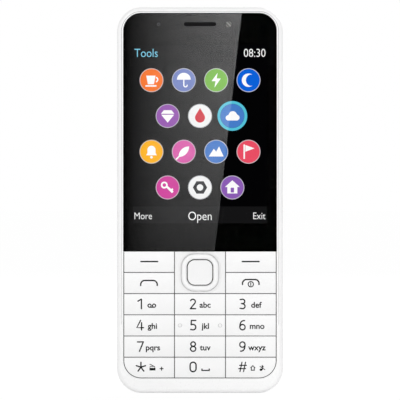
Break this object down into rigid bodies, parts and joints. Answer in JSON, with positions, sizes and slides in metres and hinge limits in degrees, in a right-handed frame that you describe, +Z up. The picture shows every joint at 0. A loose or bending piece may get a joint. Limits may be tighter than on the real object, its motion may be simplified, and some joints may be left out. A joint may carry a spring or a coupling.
{
  "type": "feature phone",
  "caption": "Candy-bar feature phone with a colour screen above a flat keypad, a ring navigation key and a removable metal back over its battery.",
  "frame": {"origin": "middle of the phone's box at the face of its lower end", "axes": "+Z up the phone's length, +X to the right as seen from the front, +Y out of the back"},
  "size_m": [0.0534, 0.011, 0.1242],
  "materials": {
    "white_frame": "smooth gloss",
    "white_keys": "satin gloss",
    "clear_window": "clear polished sheet",
    "black_print": "printed black",
    "tape": "foam",
    "panel": "polarised glass",
    "light_guide": "moulded",
    "flex": "polyimide film",
    "black_plastic": "fine moulded",
    "mesh": "woven",
    "led": "phosphor and clear resin",
    "mat_rubber": "silicone",
    "board": "solder mask",
    "tin_plate": "tin plated",
    "gold_plate": "gold flashed",
    "camera_ring": "turned",
    "camera_window": "dark polished",
    "chassis_plastic": "fine moulded",
    "cell": "wrapped cell with a plain label",
    "back_metal": "sand-blasted and anodised"
  },
  "bodies": {
    "housing": {"front_frame": "white_frame", "display_window": "clear_window", "navigation_bezel": "white_keys", "headset_jack": "black_plastic", "usb_port": "tin_plate", "camera_trim": "camera_ring", "chassis": "chassis_plastic", "window_mask": "black_print", "window_tape": "tape", "lcd_gasket": "tape", "lcd_panel": "panel", "backlight": "light_guide", "lcd_flex": "flex", "earpiece": "black_plastic", "earpiece_mesh": "mesh", "front_camera": "black_plastic", "front_flash": "led", "key_mat": "mat_rubber", "dome_film": "flex", "key_domes": "tin_plate", "main_board": "board", "shield_can": "tin_plate", "sim_reader": "tin_plate", "memory_reader": "tin_plate", "battery_contacts": "gold_plate", "vibration_motor": "tin_plate", "loudspeaker": "black_plastic", "speaker_mesh": "mesh", "microphone": "gold_plate", "rear_camera": "black_plastic", "camera_glass": "camera_window", "rear_flash": "led", "flash_lens": "led", "antenna": "gold_plate", "case_screws": "tin_plate"},
    "rear_cover": {"rear_cover": "back_metal"},
    "battery": {"battery": "cell", "battery_terminals": "gold_plate"},
    "navigation_base": {"navigation_base": "light_guide"},
    "navigation_ring": {"navigation_ring": "white_keys"},
    "left_soft_key": {"left_soft_key": "white_keys"},
    "right_soft_key": {"right_soft_key": "white_keys"},
    "call_key": {"call_key": "white_keys"},
    "end_key": {"end_key": "white_keys"},
    "select_key": {"select_key": "white_keys"},
    "key_1": {"key_1": "white_keys"},
    "key_2": {"key_2": "white_keys"},
    "key_3": {"key_3": "white_keys"},
    "key_4": {"key_4": "white_keys"},
    "key_5": {"key_5": "white_keys"},
    "key_6": {"key_6": "white_keys"},
    "key_7": {"key_7": "white_keys"},
    "key_8": {"key_8": "white_keys"},
    "key_9": {"key_9": "white_keys"},
    "key_star": {"key_star": "white_keys"},
    "key_0": {"key_0": "white_keys"},
    "key_hash": {"key_hash": "white_keys"}
  },
  "joints": [
    {"name": "left_soft_key_press", "type": "slide", "parent": "housing", "child": "left_soft_key", "axis": [0, 1, 0], "range_m": [0, 0.0003], "stiffness_N_per_m": 4000, "springref_m": -0.0001},
    {"name": "right_soft_key_press", "type": "slide", "parent": "housing", "child": "right_soft_key", "axis": [0, 1, 0], "range_m": [0, 0.0003], "stiffness_N_per_m": 4000, "springref_m": -0.0001},
    {"name": "call_key_press", "type": "slide", "parent": "housing", "child": "call_key", "axis": [0, 1, 0], "range_m": [0, 0.0003], "stiffness_N_per_m": 4000, "springref_m": -0.0001},
    {"name": "end_key_press", "type": "slide", "parent": "housing", "child": "end_key", "axis": [0, 1, 0], "range_m": [0, 0.0003], "stiffness_N_per_m": 4000, "springref_m": -0.0001},
    {"name": "select_key_press", "type": "slide", "parent": "housing", "child": "select_key", "axis": [0, 1, 0], "range_m": [0, 0.0003], "stiffness_N_per_m": 4000, "springref_m": -0.0001},
    {"name": "key_1_press", "type": "slide", "parent": "housing", "child": "key_1", "axis": [0, 1, 0], "range_m": [0, 0.0003], "stiffness_N_per_m": 4000, "springref_m": -0.0001},
    {"name": "key_2_press", "type": "slide", "parent": "housing", "child": "key_2", "axis": [0, 1, 0], "range_m": [0, 0.0003], "stiffness_N_per_m": 4000, "springref_m": -0.0001},
    {"name": "key_3_press", "type": "slide", "parent": "housing", "child": "key_3", "axis": [0, 1, 0], "range_m": [0, 0.0003], "stiffness_N_per_m": 4000, "springref_m": -0.0001},
    {"name": "key_4_press", "type": "slide", "parent": "housing", "child": "key_4", "axis": [0, 1, 0], "range_m": [0, 0.0003], "stiffness_N_per_m": 4000, "springref_m": -0.0001},
    {"name": "key_5_press", "type": "slide", "parent": "housing", "child": "key_5", "axis": [0, 1, 0], "range_m": [0, 0.0003], "stiffness_N_per_m": 4000, "springref_m": -0.0001},
    {"name": "key_6_press", "type": "slide", "parent": "housing", "child": "key_6", "axis": [0, 1, 0], "range_m": [0, 0.0003], "stiffness_N_per_m": 4000, "springref_m": -0.0001},
    {"name": "key_7_press", "type": "slide", "parent": "housing", "child": "key_7", "axis": [0, 1, 0], "range_m": [0, 0.0003], "stiffness_N_per_m": 4000, "springref_m": -0.0001},
    {"name": "key_8_press", "type": "slide", "parent": "housing", "child": "key_8", "axis": [0, 1, 0], "range_m": [0, 0.0003], "stiffness_N_per_m": 4000, "springref_m": -0.0001},
    {"name": "key_9_press", "type": "slide", "parent": "housing", "child": "key_9", "axis": [0, 1, 0], "range_m": [0, 0.0003], "stiffness_N_per_m": 4000, "springref_m": -0.0001},
    {"name": "key_star_press", "type": "slide", "parent": "housing", "child": "key_star", "axis": [0, 1, 0], "range_m": [0, 0.0003], "stiffness_N_per_m": 4000, "springref_m": -0.0001},
    {"name": "key_0_press", "type": "slide", "parent": "housing", "child": "key_0", "axis": [0, 1, 0], "range_m": [0, 0.0003], "stiffness_N_per_m": 4000, "springref_m": -0.0001},
    {"name": "key_hash_press", "type": "slide", "parent": "housing", "child": "key_hash", "axis": [0, 1, 0], "range_m": [0, 0.0003], "stiffness_N_per_m": 4000, "springref_m": -0.0001},
    {"name": "navigation_tilt_up_down", "type": "hinge", "parent": "housing", "child": "navigation_base", "pos_m": [0, -0.00339, 0.0388], "axis": [1, 0, 0], "range_deg": [-2.4, 2.4], "stiffness_Nm_per_rad": 0.18},
    {"name": "navigation_tilt_sideways", "type": "hinge", "parent": "navigation_base", "child": "navigation_ring", "pos_m": [0, -0.00339, 0.0388], "axis": [0, 0, 1], "range_deg": [-2.4, 2.4], "stiffness_Nm_per_rad": 0.18},
    {"name": "rear_cover_slide", "type": "slide", "parent": "housing", "child": "rear_cover", "axis": [0, 1, 0], "range_m": [0, 0.04]},
    {"name": "battery_slide", "type": "slide", "parent": "housing", "child": "battery", "axis": [0, 1, 0], "range_m": [0, 0.02]}
  ],
  "couplings": [
    {"joint": "battery_slide", "follows": "rear_cover_slide", "ratio": 0.5}
  ]
}
